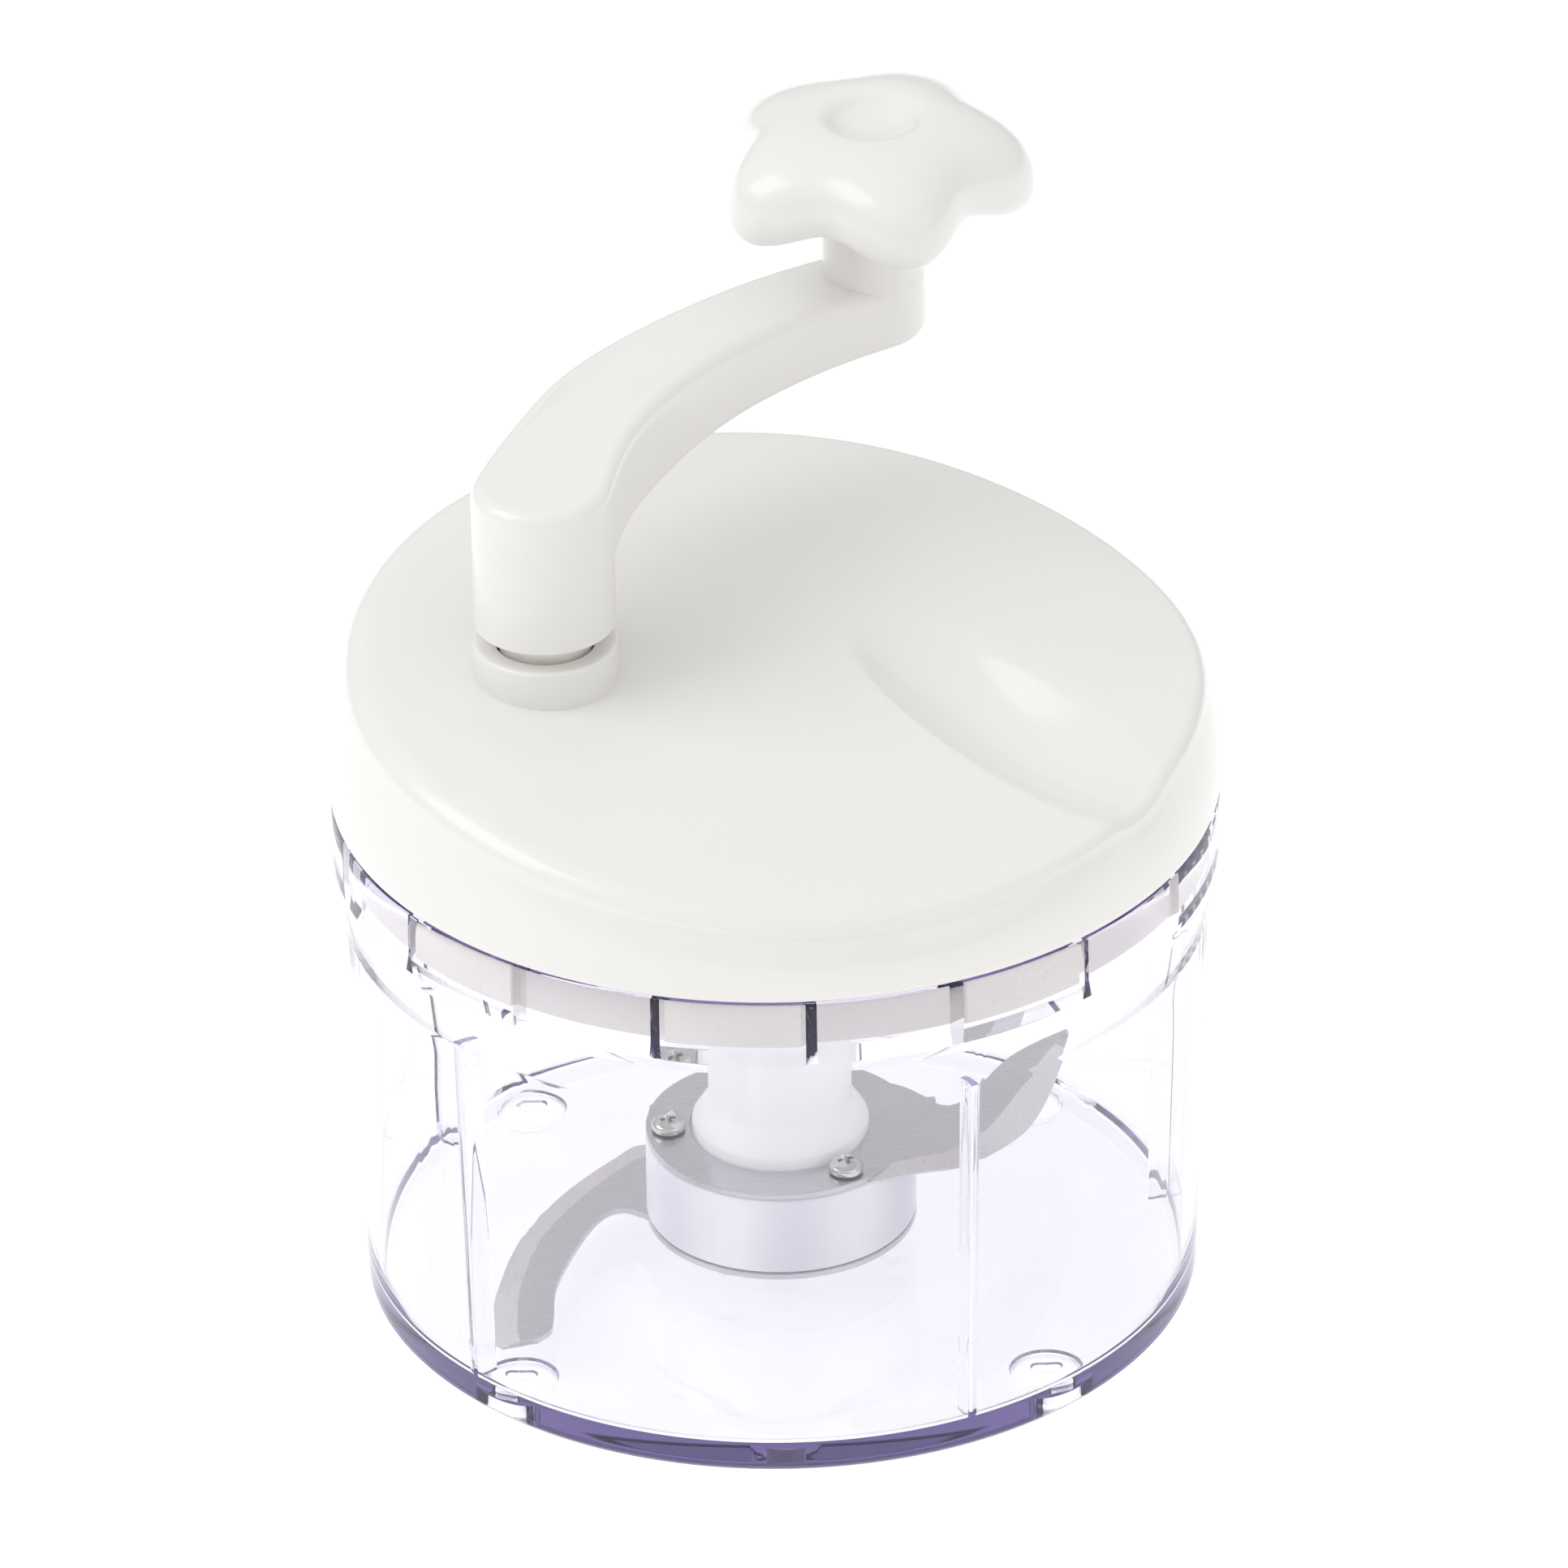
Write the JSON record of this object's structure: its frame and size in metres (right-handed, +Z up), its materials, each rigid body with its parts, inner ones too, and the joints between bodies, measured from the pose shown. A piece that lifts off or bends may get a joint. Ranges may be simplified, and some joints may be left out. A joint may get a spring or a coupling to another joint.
{
  "type": "hand-crank food processor",
  "caption": "Hand-crank food processor: clear round bowl, push-on lid with an offset crank and flower knob, and a geared two-level blade unit.",
  "frame": {"origin": "on the bowl's axis at the level of the feet, at the middle of the bowl's underside", "axes": "+Z up along the bowl's axis; -Y towards the user and the picture's viewer; +X to the viewer's right, the crank's hub being at -X"},
  "size_m": [0.14, 0.151, 0.1756],
  "materials": {
    "clear_plastic": "clear moulded plastic with a faint violet tint at its edges",
    "clear_foot": "clear soft plastic",
    "white_plastic": "glossy off-white moulding",
    "inner_white": "satin off-white moulding",
    "gear_plastic": "waxy acetal",
    "bush_plastic": "natural nylon",
    "natural_plastic": "milky translucent polypropylene",
    "steel": "bright stainless steel",
    "blade_steel": "ground stainless steel"
  },
  "bodies": {
    "bowl": {"bowl": "clear_plastic", "foot_1": "clear_foot", "foot_2": "clear_foot", "foot_3": "clear_foot", "foot_4": "clear_foot", "spindle_pin": "steel"},
    "lid": {"lid_shell": "white_plastic", "gear_cover": "inner_white", "cover_screw_1": "steel", "cover_screw_2": "steel", "cover_screw_3": "steel", "cover_screw_4": "steel", "shaft_bush": "bush_plastic"},
    "crank": {"crank_arm": "white_plastic", "crank_shaft": "steel", "shaft_sleeve": "steel", "drive_gear": "gear_plastic", "gear_washer": "steel", "gear_screw": "steel", "knob_pin": "steel"},
    "knob": {"knob": "white_plastic"},
    "pinion": {"pinion_gear": "gear_plastic"},
    "blades": {"blade_holder": "natural_plastic", "upper_blade": "blade_steel", "lower_blade": "blade_steel", "upper_screw_1": "steel", "upper_screw_2": "steel", "upper_screw_3": "steel", "lower_screw_1": "steel", "lower_screw_2": "steel", "lower_screw_3": "steel"}
  },
  "joints": [
    {"name": "lid_lift", "type": "slide", "parent": "bowl", "child": "lid", "axis": [0, 0, 1], "range_m": [0, 0.1]},
    {"name": "crank_turn", "type": "hinge", "parent": "lid", "child": "crank", "pos_m": [-0.03559, -0.00545, 0.12], "axis": [0, 0, 1], "continuous": true},
    {"name": "knob_spin", "type": "hinge", "parent": "crank", "child": "knob", "pos_m": [0.0168, 0.057, 0.165], "axis": [0, 0, 1], "continuous": true},
    {"name": "pinion_spin", "type": "hinge", "parent": "lid", "child": "pinion", "pos_m": [0, 0, 0.095], "axis": [0, 0, 1], "continuous": true},
    {"name": "blades_spin", "type": "hinge", "parent": "bowl", "child": "blades", "pos_m": [0, 0, 0.04], "axis": [0, 0, 1], "continuous": true}
  ],
  "couplings": [
    {"joint": "pinion_spin", "follows": "crank_turn", "ratio": -2.75},
    {"joint": "blades_spin", "follows": "crank_turn", "ratio": -2.75}
  ]
}
